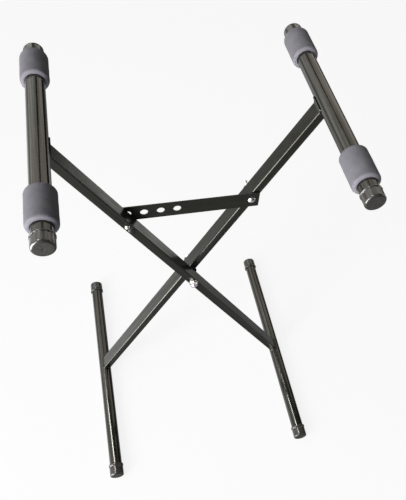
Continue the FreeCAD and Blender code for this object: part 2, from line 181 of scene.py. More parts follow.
def draw_lines_group():
    """Fine lines that run one way, as on drawn or rolled tube."""
    group, inlet, outlet = shader_group(
        "Draw lines",
        [("Direction", "Vector", (0.0, 1.0, 0.0)), ("Line scale", "Float", 500.0)],
        [("Lines", "Float")])
    place = add_node(group, "TexCoord").outputs["Object"]
    along = vector_step(group, "DOT_PRODUCT", place, inlet.outputs["Direction"])
    pull = vector_step(group, "SCALE", inlet.outputs["Direction"],
                       calculate(group, "MULTIPLY", along, -LINE_SQUEEZE))
    squeezed = vector_step(group, "ADD", place, pull)
    lines = speckle(group, inlet.outputs["Line scale"], detail=3.0, roughness=0.6, place=squeezed)
    group.links.new(lines, outlet.inputs["Lines"])
    return group


POWDER_SKIN = powder_skin_group()
WORN_EDGES = worn_edges_group()
SETTLED_DUST = settled_dust_group()
DRAW_LINES = draw_lines_group()


def place_group(tree, group, **values):
    """A group node in a material, with its values set by name."""
    node = tree.nodes.new("ShaderNodeGroup")
    node.node_tree = group
    for name, value in values.items():
        node.inputs[name.replace("_", " ")].default_value = value
    return node


def new_material(name, **constants):
    """A material with its main shader, whose plain sockets are set by name."""
    material = bpy.data.materials.new(name)
    material.use_nodes = True
    shader = material.node_tree.nodes["Principled BSDF"]
    for socket_name, value in constants.items():
        shader.inputs[socket_name.replace("_", " ")].default_value = value
    return material, material.node_tree, shader


def set_bump(tree, shader, height, depth, strength=1.0):
    """Feed a height, in metres when multiplied by depth, to the shader's normal."""
    bump = add_node(tree, "Bump", None, Strength=strength, Distance=depth, Height=height)
    tree.links.new(bump.outputs["Normal"], shader.inputs["Normal"])


def black_paint(name, colour, gloss, dull, direction, peel_depth, dust, wear, coat):
    """Powder coat over steel: peel, dull patches, faint lines in the steel that the colour also carries as
    painted reflection streaks, dust, and rubbed edges.
    """
    material, tree, shader = new_material(name, IOR=1.5, Coat_Roughness=0.10,
                                          Specular_Tint=(1.0, 1.0, 0.84, 1.0))
    skin = place_group(tree, POWDER_SKIN, Gloss_roughness=gloss, Dull_roughness=dull)
    lines = place_group(tree, DRAW_LINES, Direction=direction, Line_scale=420.0).outputs["Lines"]
    rubbed = place_group(tree, WORN_EDGES, Amount=wear).outputs["Mask"]
    dusty = place_group(tree, SETTLED_DUST, Amount=dust).outputs["Mask"]
    # The colour is made lighter and darker along the lines in the steel: painted reflection streaks over the
    # real relief of the lines.
    painted = vector_step(tree, "SCALE", colour, remap(tree, lines, 0.3, 0.7, 0.6, 1.5))
    greyed = blend_colour(tree, dusty, painted, DUST_ON_PAINT)
    tree.links.new(blend_colour(tree, rubbed, greyed, BARE_STEEL), shader.inputs["Base Color"])
    tree.links.new(remap(tree, lines, 0.35, 0.65, 0.0, coat), shader.inputs["Coat Weight"])
    tree.links.new(calculate(tree, "MULTIPLY", rubbed, 0.8), shader.inputs["Metallic"])
    rough = calculate(tree, "ADD", skin.outputs["Roughness"], calculate(tree, "MULTIPLY", dusty, 0.35))
    tree.links.new(rough, shader.inputs["Roughness"])
    height = calculate(tree, "ADD", skin.outputs["Height"], calculate(tree, "MULTIPLY", lines, 0.6))
    set_bump(tree, shader, height, peel_depth)
    return material


def dress(node_name, material):
    """Give a CAD node its material."""
    mesh = nodes[node_name].data
    mesh.materials.clear()
    mesh.materials.append(material)


for node_name, side in (("leg_front", -1.0), ("leg_rear", 1.0)):
    leg_line = (side * math.sin(LEG_LEAN), 0.0, math.cos(LEG_LEAN))
    leg_paint = black_paint("Paint_" + node_name, LEG_COLOUR, gloss=0.20, dull=0.32, direction=leg_line,
                            peel_depth=0.00003, dust=0.10, wear=0.35, coat=0.5)
    dress(node_name, leg_paint)


# ---------------------------------------------------------------- saddle plates
# A piece of 2 mm plate, rolled round the support tube and welded to the top of each leg.
# It is painted with the leg, and its corners are a little rubbed.

FRONT_TO_REAR = (0.0, 1.0, 0.0)
SADDLE_COLOUR = (0.016, 0.0155, 0.0135)
saddle_paint = black_paint("Paint_saddles", SADDLE_COLOUR, gloss=0.24, dull=0.38, direction=FRONT_TO_REAR,
                           peel_depth=0.00003, dust=0.10, wear=0.7, coat=0.25)
for node_name in ("saddle_left", "saddle_right"):
    dress(node_name, saddle_paint)


# ---------------------------------------------------------------- support tubes and foot tubes
# Round steel tube, 32 mm at the top and 28 mm on the floor, lying front to rear.
# The coat on them is glossier than on the legs, over lines left by the drawing of the tube, which the colour
# also carries as painted reflection streaks.

TUBE_COLOUR = (0.016, 0.0152, 0.013)
tube_paint = black_paint("Paint_tubes", TUBE_COLOUR, gloss=0.08, dull=0.16, direction=FRONT_TO_REAR,
                         peel_depth=0.00004, dust=0.12, wear=0.35, coat=0.9)
for node_name in ("support_tube_left", "support_tube_right", "foot_tube_left", "foot_tube_right"):
    dress(node_name, tube_paint)


# ---------------------------------------------------------------- weld beads
# A fillet weld all round each end of each leg, on the saddle at the top and on the foot tube
# below. The beads are laid by hand, so they carry ripples, and they are painted with the frame.

WELD_COLOUR = (0.018, 0.017, 0.015)
WELD_LEG = 0.0024
WELD_MEAN_SIZE = 0.88
WELD_UNEVENNESS = 0.10
WELD_UNEVEN_SCALE = 160.0
WELD_RIPPLE = 0.0019
WELD_RIPPLE_LAG = 0.0011
WELD_RIPPLE_RISE = 0.11
WELD_BULGE = 0.16
WELD_SLANT = 0.7
WELD_STEPS = 8
WELD_ROOT_GAP = 0.00002
LEG_WIDTH = 0.017
LEG_DEPTH = 0.030
LEG_CORNER = 0.0024
LEG_CORNER_STEPS = 6
LEG_POINT_SPACING = 0.0006
LEG_HIGH = 0.470324
LEG_LOW = 0.452196
PIVOT_HEIGHT = 0.407732
SADDLE_OUTER = 0.01802
FOOT_RADIUS = 0.014
FRONT_LEG_Y = -0.01675
REAR_LEG_Y = 0.01675
ACROSS = (1.0, 0.0, 0.0)


def object_from(name, mesh_work):
    """A new object in the scene from a mesh that is ready."""
    mesh = bpy.data.meshes.new(name)
    mesh_work.to_mesh(mesh)
    mesh_work.free()
    piece = bpy.data.objects.new(name, mesh)
    bpy.context.scene.collection.objects.link(piece)
    return piece


def skin_rings(name, rings, loop=False):
    """A mesh from rings of points, bridged in order, closed end to end or with a fan on each end."""
    mesh_work = bmesh.new()
    rows = [[mesh_work.verts.new(point) for point in ring] for ring in rings]
    pairs = list(zip(rows, rows[1:])) + ([(rows[-1], rows[0])] if loop else [])
    count = len(rows[0])
    for low_row, high_row in pairs:
        for index in range(count):
            following = (index + 1) % count
            mesh_work.faces.new((low_row[index], low_row[following], high_row[following], high_row[index]))
    if not loop:
        for row in (rows[0], rows[-1]):
            hub = mesh_work.verts.new(sum((vert.co for vert in row), Vector()) / count)
            for index, vert in enumerate(row):
                mesh_work.faces.new((vert, row[(index + 1) % count], hub))
    bmesh.ops.recalc_face_normals(mesh_work, faces=mesh_work.faces)
    for face in mesh_work.faces:
        face.smooth = True
    return object_from(name, mesh_work)


def crease(piece, degrees):
    """Keep edges sharper than this angle as real edges."""
    mesh_work = bmesh.new()
    mesh_work.from_mesh(piece.data)
    for edge in mesh_work.edges:
        if len(edge.link_faces) == 2 and edge.calc_face_angle() > math.radians(degrees):
            edge.smooth = False
    mesh_work.to_mesh(piece.data)
    mesh_work.free()


def middle_of(node_name):
    """The middle of a CAD node's box."""
    low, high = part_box(node_name)
    return (Vector(low) + Vector(high)) / 2.0


def body_of(node_name):
    """The body that a CAD node belongs to."""
    bodies = frame["record"]["behaviour"]["bodies"]
    return next(body_name for body_name, members in bodies.items() if node_name in members)


def stand_for(piece, node_name, material):
    """Put a modelled piece in a CAD node's place, on its body, with its finish."""
    piece.data.materials.append(material)
    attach(piece, body_of(node_name))
    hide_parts(node_name)


def leg_outline():
    """Points round the leg's section, evenly spaced, each with the direction out of the section."""
    half_width = LEG_WIDTH / 2.0 - LEG_CORNER
    half_depth = LEG_DEPTH / 2.0 - LEG_CORNER
    corners = ((half_width, half_depth), (-half_width, half_depth),
               (-half_width, -half_depth), (half_width, -half_depth))
    outline = []
    for index, corner in enumerate(corners):
        for part in range(LEG_CORNER_STEPS + 1):
            angle = math.radians(90.0 * (index + part / LEG_CORNER_STEPS))
            out = Vector((math.cos(angle), math.sin(angle)))
            outline.append((Vector(corner) + LEG_CORNER * out, out))
        first = outline[-1][0]
        last = Vector(corners[(index + 1) % len(corners)]) + LEG_CORNER * out
        steps = round((last - first).length / LEG_POINT_SPACING)
        for part in range(1, steps):
            outline.append((first.lerp(last, part / steps), out))
    return outline


def weld_bead(place_name, side, leg_middle_y, seed):
    """A rippled fillet between the leg's walls and the saddle or foot tube that the leg is coped to."""
    if place_name.startswith("saddle"):
        seat_radius, seat_height, way = SADDLE_OUTER, LEG_HIGH, -1.0
    else:
        seat_radius, seat_height, way = FOOT_RADIUS, -LEG_LOW, 1.0

    def height_on_seat(u, radius):
        return seat_height + way * math.sqrt(max(radius * radius - u * u, 0.0))

    outline = leg_outline()
    travelled = 0.0
    rings = []
    before = outline[-1][0]
    for point, out in outline:
        travelled += (point - before).length
        before = point
        wander = noise.noise(Vector((travelled * WELD_UNEVEN_SCALE, seed, 0.0)))
        size = WELD_LEG * (WELD_MEAN_SIZE + WELD_UNEVENNESS * wander)
        ring = []
        for part in range(WELD_STEPS + 1):
            share = part / WELD_STEPS
            arch = math.sin(math.pi * share)
            phase = (travelled - WELD_RIPPLE_LAG * arch) / WELD_RIPPLE
            ripple = WELD_RIPPLE_RISE * abs(math.sin(math.pi * phase)) * arch
            bulge = size * (WELD_BULGE + ripple) * arch * WELD_SLANT
            spot = point + out * (size * share + bulge)
            height = height_on_seat(spot.x, seat_radius) + way * (size * (1.0 - share) + bulge)
            ring.append(Vector((spot.x, spot.y, height)))
        root = point + out * WELD_ROOT_GAP
        ring.append(Vector((root.x, root.y, height_on_seat(root.x, seat_radius + WELD_ROOT_GAP))))
        rings.append(ring)
    turn = Matrix.Rotation(side * LEG_LEAN, 4, "Y")
    lift = Vector((0.0, leg_middle_y, PIVOT_HEIGHT))
    placed = [[turn @ spot + lift for spot in ring] for ring in rings]
    bead = skin_rings("Weld_" + place_name, placed, loop=True)
    stand_for(bead, "weld_" + place_name, weld_paint)


weld_paint = black_paint("Paint_welds", WELD_COLOUR, gloss=0.22, dull=0.34, direction=ACROSS,
                         peel_depth=0.00004, dust=0.14, wear=0.2, coat=0.3)
weld_bead("saddle_left", -1.0, FRONT_LEG_Y, seed=1.0)
weld_bead("foot_right", -1.0, FRONT_LEG_Y, seed=2.0)
weld_bead("saddle_right", 1.0, REAR_LEG_Y, seed=3.0)
weld_bead("foot_left", 1.0, REAR_LEG_Y, seed=4.0)


# ---------------------------------------------------------------- foam sleeves
# Four sleeves of grey closed-cell foam, pushed over the support tubes to grip the keyboard.
# The moulded skin is matt with fine pits, painted darker as painted shade, and the ends are rounded and
# painted lighter as painted light.

FOAM_DARK = (0.245, 0.240, 0.265)
FOAM_LIGHT = (0.335, 0.327, 0.360)
# Colour of the painted shade in the pits of the foam.
FOAM_PIT_PAINTED_SHADE = (0.16, 0.155, 0.175)
# Colour of the painted light on the rounded ends of each sleeve.
FOAM_END_PAINTED_LIGHT = (0.54, 0.52, 0.60)
FOAM_OUTER = 0.0235
FOAM_BORE = 0.01615
FOAM_EDGE = 0.006
FOAM_BORE_EDGE = 0.0012
FOAM_SEGMENTS = 112
FOAM_EDGE_STEPS = 12
FOAM_BORE_EDGE_STEPS = 4
FOAM_SIDE_STEPS = 40
FOAM_BORE_STEPS = 8
FOAM_SOFT_FROM_BORE = 0.004
FOAM_WAVE_DEPTH = 0.00022
FOAM_WAVE_SCALE = 55.0
FOAM_GRAIN_DEPTH = 0.00009
FOAM_GRAIN_SCALE = 230.0
FOAM_PATTERN_RADIUS = 0.02
FOAM_LIGHT_END = 0.0042
FOAM_LIGHT_FADE = 0.003
FOUR_ENDS = ("left_front", "left_rear", "right_front", "right_rear")


def held(value):
    """A value kept between 0 and 1."""
    return max(0.0, min(1.0, value))


def angles_round(count):
    """Evenly spaced angles round a full turn."""
    return [2.0 * math.pi * index / count for index in range(count)]


def values_between(start, end, steps):
    """Evenly spaced values from one end to the other, without the ends."""
    return [start + (end - start) * index / steps for index in range(1, steps)]


def arc_points(centre_r, centre_y, radius, start, end, count):
    """Points on an arc in the half plane of radius and length."""
    angles = [math.radians(start + (end - start) * index / count) for index in range(count + 1)]
    return [(centre_r + radius * math.cos(angle), centre_y + radius * math.sin(angle)) for angle in angles]


def foam_pits_group():
    """Closed cells: a height for the pits, and a mottling of lighter and darker skin."""
    group, inlet, outlet = shader_group(
        "Foam pits", [("Cell scale", "Float", 850.0), ("Mottle scale", "Float", 60.0)],
        [("Height", "Float"), ("Mottle", "Float")])
    place = add_node(group, "TexCoord").outputs["Object"]
    cells = add_node(group, "TexVoronoi", {"feature": "SMOOTH_F1"}, Vector=place,
                     Scale=inlet.outputs["Cell scale"]).outputs["Distance"]
    grain = speckle(group, inlet.outputs["Cell scale"], detail=4.0)
    height = calculate(group, "ADD", cells, calculate(group, "MULTIPLY", grain, 0.6))
    mottle = speckle(group, inlet.outputs["Mottle scale"], detail=6.0, roughness=0.6)
    group.links.new(height, outlet.inputs["Height"])
    group.links.new(mottle, outlet.inputs["Mottle"])
    return group


foam_skin, foam_tree, foam_shader = new_material(
    "Foam_skin", Roughness=0.85, Sheen_Weight=0.08, Sheen_Roughness=0.5, Specular_IOR_Level=0.25)
pits = place_group(foam_tree, foam_pits_group())
mottled = blend_colour(foam_tree, remap(foam_tree, pits.outputs["Mottle"], 0.3, 0.7, 0.0, 1.0),
                       FOAM_DARK, FOAM_LIGHT)
# The pits are painted darker: painted shade in the hollows of the cells.
in_pit = remap(foam_tree, pits.outputs["Height"], 0.3, 1.0, 0.75, 0.0)
pit_shade = calculate(foam_tree, "MULTIPLY", in_pit, 0.35)
shaded_pits = blend_colour(foam_tree, pit_shade, mottled, FOAM_PIT_PAINTED_SHADE)
# The ends of each sleeve are painted lighter: painted light, where the lamps catch the rounded ends.
painted_light_end = add_node(foam_tree, "Attribute", {"attribute_name": "painted_light_end"}).outputs["Fac"]
end_painted_light = calculate(foam_tree, "MULTIPLY", painted_light_end, 0.7)
foam_colour = blend_colour(foam_tree, end_painted_light, shaded_pits, FOAM_END_PAINTED_LIGHT)
foam_tree.links.new(foam_colour, foam_shader.inputs["Base Color"])
set_bump(foam_tree, foam_shader, pits.outputs["Height"], 0.00035, 0.7)


def foam_sleeve(place_name, seed):
    """A sleeve turned from its profile, then made a little uneven as soft foam is."""
    node_name = "foam_" + place_name
    middle = middle_of(node_name)
    low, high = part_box(node_name)
    start, end = low[1], high[1]
    side_start, side_end = start + FOAM_EDGE, end - FOAM_EDGE
    bore_start, bore_end = start + FOAM_BORE_EDGE, end - FOAM_BORE_EDGE
    side_centre, bore_centre = FOAM_OUTER - FOAM_EDGE, FOAM_BORE + FOAM_BORE_EDGE
    profile = arc_points(bore_centre, bore_start, FOAM_BORE_EDGE, 180.0, 270.0, FOAM_BORE_EDGE_STEPS)
    profile += arc_points(side_centre, side_start, FOAM_EDGE, -90.0, 0.0, FOAM_EDGE_STEPS)
    profile += [(FOAM_OUTER, y) for y in values_between(side_start, side_end, FOAM_SIDE_STEPS)]
    profile += arc_points(side_centre, side_end, FOAM_EDGE, 0.0, 90.0, FOAM_EDGE_STEPS)
    profile += arc_points(bore_centre, bore_end, FOAM_BORE_EDGE, 90.0, 180.0, FOAM_BORE_EDGE_STEPS)
    profile += [(FOAM_BORE, y) for y in values_between(bore_end, bore_start, FOAM_BORE_STEPS)]
    rings = []
    for radius, y in profile:
        softness = held((radius - FOAM_BORE) / FOAM_SOFT_FROM_BORE)
        ring = []
        for angle in angles_round(FOAM_SEGMENTS):
            spot = Vector((math.cos(angle) * FOAM_PATTERN_RADIUS, y, math.sin(angle) * FOAM_PATTERN_RADIUS))
            wave = FOAM_WAVE_DEPTH * noise.noise(spot * FOAM_WAVE_SCALE + Vector((seed, 0.0, 0.0)))
            grain = FOAM_GRAIN_DEPTH * noise.noise(spot * FOAM_GRAIN_SCALE + Vector((0.0, seed, 0.0)))
            uneven = radius + softness * (wave + grain)
            ring.append(Vector((middle.x + uneven * math.cos(angle), y, middle.z + uneven * math.sin(angle))))
        rings.append(ring)
    piece = skin_rings("Foam_" + place_name, rings, loop=True)
    # How near each point lies to an end, for the painted light on the ends.
    from_end = [min(vert.co.y - start, end - vert.co.y) for vert in piece.data.vertices]
    layer = piece.data.attributes.new("painted_light_end", "FLOAT", "POINT")
    layer.data.foreach_set("value", [held((FOAM_LIGHT_END - away) / FOAM_LIGHT_FADE) for away in from_end])
    stand_for(piece, node_name, foam_skin)


for seed, place_name in enumerate(FOUR_ENDS, start=10):
    foam_sleeve(place_name, float(seed))


# ---------------------------------------------------------------- caps of the support tubes
# Hard black plastic cups, pushed over the ends of the support tubes up to a rolled lip.
# Flutes along the side give the fingers a grip. The mould has left them smooth and glossy.

CAP_COLOUR = (0.042, 0.040, 0.034)
CAP_FLOW_COLOUR = (0.075, 0.071, 0.060)
DUST_ON_PLASTIC = (0.34, 0.32, 0.29)
RUBBED_PLASTIC = (0.20, 0.19, 0.17)
CAP_RADIUS = 0.0172
CAP_BORE = 0.01605
CAP_LENGTH = 0.0215
CAP_END = 0.003
CAP_EDGE = 0.0038
CAP_LIP = 0.0008
CAP_LIP_LENGTH = 0.0026
CAP_LIP_ROLL = 0.0006
CAP_FLUTES = 14
CAP_FLUTE_START = 0.0052
CAP_FLUTE_END = 0.0179
CAP_FLUTE_WIDTH = 0.005
CAP_FLUTE_DEPTH = 0.0005
CAP_FLUTE_BLEND = 0.0005
CAP_GATE_RADIUS = 0.0008
CAP_GATE_DEPTH = 0.0004
CAP_SEGMENTS = 16 * CAP_FLUTES
CAP_ROWS = 46
CUP_END_SHARES = (0.06, 0.12, 0.3, 0.6, 0.9)
CUP_FLOOR_SHARES = (0.6, 0.2)
CUP_CORNER_RING = 0.001
CUP_EDGE_STEPS = 10
CUP_CREASE = 60.0
MOUTH_BEVEL = 0.0003
ROLL_LEAD = 0.0001
# Points no further out than this from the bore belong to the inside or the end, and keep their radius.
INSIDE_MARGIN = MOUTH_BEVEL + 0.00001


def smooth_step(value):
    """0 below 0, 1 above 1, smooth between."""
    share = held(value)
    return share * share * (3.0 - 2.0 * share)


def rolled_band(along, start, end, roll):
    """1 on a raised band and 0 off it, with a rounded rise inside each of its sides."""
    run = min(along - start, end - along)
    return math.sqrt(held((run + ROLL_LEAD) / roll))


def moulded_plastic(name, colour, mark, gloss, dull, grain, coat):
    """Moulded plastic or rubber: flow marks, a fine grain, handling marks and a little dust."""
    material, tree, shader = new_material(name, IOR=1.49, Coat_Weight=coat, Coat_Roughness=0.1)
    skin = place_group(tree, POWDER_SKIN, Peel_scale=grain, Dull_scale=70.0, Gloss_roughness=gloss,
                       Dull_roughness=dull)
    flow = place_group(tree, DRAW_LINES, Direction=FRONT_TO_REAR, Line_scale=260.0).outputs["Lines"]
    worn = place_group(tree, WORN_EDGES, Width=0.0006, Break_up_scale=300.0, Amount=0.35).outputs["Mask"]
    dusty = place_group(tree, SETTLED_DUST, Patch_scale=120.0, Amount=0.16).outputs["Mask"]
    marked = blend_colour(tree, remap(tree, flow, 0.42, 0.66, 0.0, 1.0), colour, mark)
    rubbed = blend_colour(tree, worn, marked, RUBBED_PLASTIC)
    tree.links.new(blend_colour(tree, dusty, rubbed, DUST_ON_PLASTIC), shader.inputs["Base Color"])
    tree.links.new(skin.outputs["Roughness"], shader.inputs["Roughness"])
    set_bump(tree, shader, skin.outputs["Height"], 0.00002)
    return material


def cup_profile(radius, length, edge, rows):
    """Radius and distance from the closed end, from the middle of the end to the mouth."""
    profile = [((radius - edge) * share, 0.0) for share in CUP_END_SHARES]
    profile += arc_points(radius - edge, edge, edge, -90.0, 0.0, CUP_EDGE_STEPS)
    profile += [(radius, along) for along in values_between(edge, length, rows)]
    profile.append((radius, length))
    return profile


def turned_cup(node_name, profile, bore, end_wall, segments, shape):
    """A closed cup on the end of a tube that runs front to rear; shape changes a point's radius or depth."""
    low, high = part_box(node_name)
    tip, way = (low[1], 1.0) if node_name.endswith("front") else (high[1], -1.0)
    tube_name = node_name.replace("_cap_", "_tube_").rsplit("_", 1)[0]
    axis = middle_of(tube_name)
    mouth = profile[-1][1]
    inside = [(bore + MOUTH_BEVEL, mouth), (bore, mouth - MOUTH_BEVEL), (bore, end_wall + CUP_CORNER_RING),
              (bore, end_wall)]
    inside += [(bore * share, end_wall) for share in CUP_FLOOR_SHARES]
    rings = []
    for radius, along in profile + inside:
        ring = []
        for angle in angles_round(segments):
            reach, depth = shape(radius, along, angle)
            ring.append(Vector((axis.x + reach * math.cos(angle), tip + way * depth,
                                axis.z + reach * math.sin(angle))))
        rings.append(ring)
    return skin_rings(node_name.capitalize(), rings)


def fluted(radius, along, angle):
    """The support cap's flutes, lip and gate mark."""
    if along == 0.0:
        return radius, CAP_GATE_DEPTH * (1.0 - smooth_step((radius - CAP_GATE_RADIUS) / CAP_GATE_RADIUS))
    if radius <= CAP_BORE + INSIDE_MARGIN:
        return radius, along
    pitch = 2.0 * math.pi / CAP_FLUTES
    off = (angle + pitch / 2.0) % pitch - pitch / 2.0
    across_flute = abs(math.sin(off) * radius)
    in_flute = 1.0 - smooth_step((across_flute - CAP_FLUTE_WIDTH / 2.0) / CAP_FLUTE_BLEND + 0.5)
    run = min(along - CAP_FLUTE_START, CAP_FLUTE_END - along)
    in_flute *= smooth_step(run / CAP_FLUTE_BLEND + 0.5)
    flute_floor = min((radius - CAP_FLUTE_DEPTH) / math.cos(off), radius)
    lip = CAP_LIP * rolled_band(along, CAP_LENGTH - CAP_LIP_LENGTH, CAP_LENGTH, CAP_LIP_ROLL)
    return radius + in_flute * (flute_floor - radius) + lip, along


cap_plastic = moulded_plastic("Cap_plastic", CAP_COLOUR, CAP_FLOW_COLOUR, gloss=0.10, dull=0.19, grain=900.0,
                              coat=0.7)
cap_profile = cup_profile(CAP_RADIUS, CAP_LENGTH, CAP_EDGE, CAP_ROWS)
for place_name in FOUR_ENDS:
    node_name = "support_cap_" + place_name
    cup = turned_cup(node_name, cap_profile, CAP_BORE, CAP_END, CAP_SEGMENTS, fluted)
    crease(cup, CUP_CREASE)
    stand_for(cup, node_name, cap_plastic)


# ---------------------------------------------------------------- caps of the foot tubes
# Black rubber cups with a thick ring at the mouth, pushed over the ends of the foot tubes.
# They carry the stand on the floor, and are worn flat where they touch it.

FOOT_RUBBER_COLOUR = (0.040, 0.039, 0.034)
FOOT_FLOW_COLOUR = (0.070, 0.067, 0.058)
FOOT_CAP_RADIUS = 0.0156
FOOT_CAP_BORE = 0.01405
FOOT_CAP_LENGTH = 0.027
FOOT_CAP_END = 0.0035
FOOT_CAP_EDGE = 0.003
FOOT_CAP_SWELL = 0.00012
FOOT_RING_RADIUS = 0.0167
FOOT_RING_LENGTH = 0.005
FOOT_RING_ROLL = 0.0011
FOOT_GROOVE_PLACE = 0.0195
FOOT_GROOVE_DEPTH = 0.0003
FOOT_GROOVE_HALF_WIDTH = 0.0006
FOOT_SEGMENTS = 144
FOOT_ROWS = 48


def ringed(radius, along, _angle):
    """The foot cap's ring, a groove before it, and a slight swell where the rubber is stretched."""
    if radius <= FOOT_CAP_BORE + INSIDE_MARGIN or along == 0.0:
        return radius, along
    rise = rolled_band(along, FOOT_CAP_LENGTH - FOOT_RING_LENGTH, FOOT_CAP_LENGTH, FOOT_RING_ROLL)
    swell = FOOT_CAP_SWELL * math.sin(math.pi * min(1.0, along / FOOT_CAP_LENGTH))
    from_groove = abs(along - FOOT_GROOVE_PLACE)
    groove = FOOT_GROOVE_DEPTH * (1.0 - smooth_step(from_groove / FOOT_GROOVE_HALF_WIDTH))
    return radius + rise * (FOOT_RING_RADIUS - FOOT_CAP_RADIUS) + swell * (1.0 - rise) - groove, along


foot_rubber = moulded_plastic("Foot_rubber", FOOT_RUBBER_COLOUR, FOOT_FLOW_COLOUR, gloss=0.20, dull=0.34,
                              grain=1100.0, coat=0.5)
foot_profile = cup_profile(FOOT_CAP_RADIUS, FOOT_CAP_LENGTH, FOOT_CAP_EDGE, FOOT_ROWS)
for place_name in FOUR_ENDS:
    node_name = "foot_cap_" + place_name
    cup = turned_cup(node_name, foot_profile, FOOT_CAP_BORE, FOOT_CAP_END, FOOT_SEGMENTS, ringed)
    for vert in cup.data.vertices:
        vert.co.z = max(vert.co.z, 0.0)
    crease(cup, CUP_CREASE)
    stand_for(cup, node_name, foot_rubber)


# ---------------------------------------------------------------- pivot bolt and nut
# An M8 hexagon bolt, put in from the rear through both legs, with a nut at the front and a washer
# at each end. All are bright zinc plated. The thread is rolled, so its crests are round.

ZINC_COLOUR = (0.88, 0.88, 0.92)
ZINC_STRAW = (ZINC_COLOUR[0] * 0.98, ZINC_COLOUR[1] * 0.93, ZINC_COLOUR[2] * 0.82)
HEX_CHAMFER = math.radians(30.0)
HEX_CROWN_INSET = 0.00026
HEX_CORNER_DROP = 0.00012
HEX_POINTS = 96
HEX_FACE_SHARES = (0.0, 0.5, 0.85, 1.0)
HEX_SIDE_SHARES = (0.35, 0.7, 0.97, 1.0)
NUT_COUNTERSINK = 0.0006
NUT_BORE_SHARES = (0.93, 0.5, 0.07)
THREAD_DEPTH = 0.54
THREAD_TAPER = 1.2
THREAD_ROWS_A_TURN = 8.0
SHANK_POINTS = 40
BOLT_CREASE = 24.0
PIVOT_BOLT_RADIUS = 0.00398
PIVOT_TIP_RADIUS = 0.0016
PIVOT_PITCH = 0.00125
PIVOT_THREAD_LENGTH = 0.022
PIVOT_THREAD_RUNOUT = 0.0012
PIVOT_FLATS = 0.013
PIVOT_HEAD_HEIGHT = 0.0053
PIVOT_HEAD_BACK = 0.0045
PIVOT_HEAD_MIDDLE = 0.0004
PIVOT_SHANK_IN_HEAD = 0.001
PIVOT_NUT_BORE = 0.00403


def bright_zinc(name, gloss, dull):
    """Bright zinc plate: a fine grain, duller patches, and a blue to straw bloom."""
    material, tree, shader = new_material(name, Metallic=1.0)
    skin = place_group(tree, POWDER_SKIN, Peel_scale=1500.0, Dull_scale=220.0, Gloss_roughness=gloss,
                       Dull_roughness=dull)
    bloom = remap(tree, speckle(tree, 130.0, detail=3.0), 0.4, 0.65, 0.0, 1.0)
    tree.links.new(blend_colour(tree, bloom, ZINC_COLOUR, ZINC_STRAW), shader.inputs["Base Color"])
    tree.links.new(skin.outputs["Roughness"], shader.inputs["Roughness"])
    set_bump(tree, shader, skin.outputs["Height"], 0.00001)
    return material


def round_ring(radius, y, count=SHANK_POINTS):
    """One round ring of points across Y."""
    return [Vector((radius * math.cos(angle), y, radius * math.sin(angle))) for angle in angles_round(count)]


def hex_radius(flats, angle):
    """Distance from the middle of a hexagon to its side, in one direction."""
    off = (angle + math.pi / 6.0) % (math.pi / 3.0) - math.pi / 6.0
    return flats / 2.0 / math.cos(off)


def hexagon_rings(flats, start, end, start_chamfered, inner_start, inner_end):
    """Rings from the inner edge of one face, over the sides, to the inner edge of the other."""
    crown = flats / 2.0 - HEX_CROWN_INSET
    faces = []
    for face, chamfered, way, inner in ((start, start_chamfered, 1.0, inner_start),
                                        (end, True, -1.0, inner_end)):
        rings = [round_ring(inner + (crown - inner) * share, face, HEX_POINTS) for share in HEX_FACE_SHARES]
        for share in HEX_SIDE_SHARES:
            ring = []
            for angle in angles_round(HEX_POINTS):
                out = (hex_radius(flats, angle) - crown) * share
                drop = out * math.tan(HEX_CHAMFER) if chamfered else 0.0
                if share == 1.0:
                    drop += HEX_CORNER_DROP
                radius = crown + out
                ring.append(Vector((radius * math.cos(angle), face + way * drop, radius * math.sin(angle))))
            rings.append(ring)
        faces.append(rings)
    return faces[0] + faces[1][::-1]


def thread_rings(outer, pitch, start, end, open_end):
    """Rings along a shank whose surface carries a right-hand thread, tapering in at its open end."""
    depth = pitch * THREAD_DEPTH
    rows = int(abs(end - start) / pitch * THREAD_ROWS_A_TURN)
    rings = []
    for row in range(rows + 1):
        y = start + (end - start) * row / rows
        taper = outer - depth + abs(y - open_end) * THREAD_TAPER
        ring = []
        for angle in angles_round(SHANK_POINTS):
            groove = 0.5 - 0.5 * math.cos(2.0 * math.pi * y / pitch + angle)
            radius = min(outer - depth * groove, taper)
            ring.append(Vector((radius * math.cos(angle), y, radius * math.sin(angle))))
        rings.append(ring)
    return rings


def shift_rings(rings, axis):
    """Rings moved to an axis that runs front to rear."""
    return [[Vector((point.x + axis.x, point.y, point.z + axis.z)) for point in ring] for ring in rings]


def join_pieces(name, parts):
    """One object from several closed shells."""
    mesh_work = bmesh.new()
    for part in parts:
        mesh_work.from_mesh(part.data)
        bpy.data.objects.remove(part)
    return object_from(name, mesh_work)


def hexagon_nut(node_name, flats, bore):
    """A nut with both faces chamfered and its hole countersunk at both ends."""
    low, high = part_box(node_name)
    mouth = bore + NUT_COUNTERSINK
    rings = hexagon_rings(flats, low[1], high[1], True, mouth, mouth)
    rings += [round_ring(bore, low[1] + (high[1] - low[1]) * share, HEX_POINTS) for share in NUT_BORE_SHARES]
    piece = skin_rings(node_name.capitalize(), shift_rings(rings, middle_of(node_name)), loop=True)
    crease(piece, BOLT_CREASE)
    stand_for(piece, node_name, zinc)


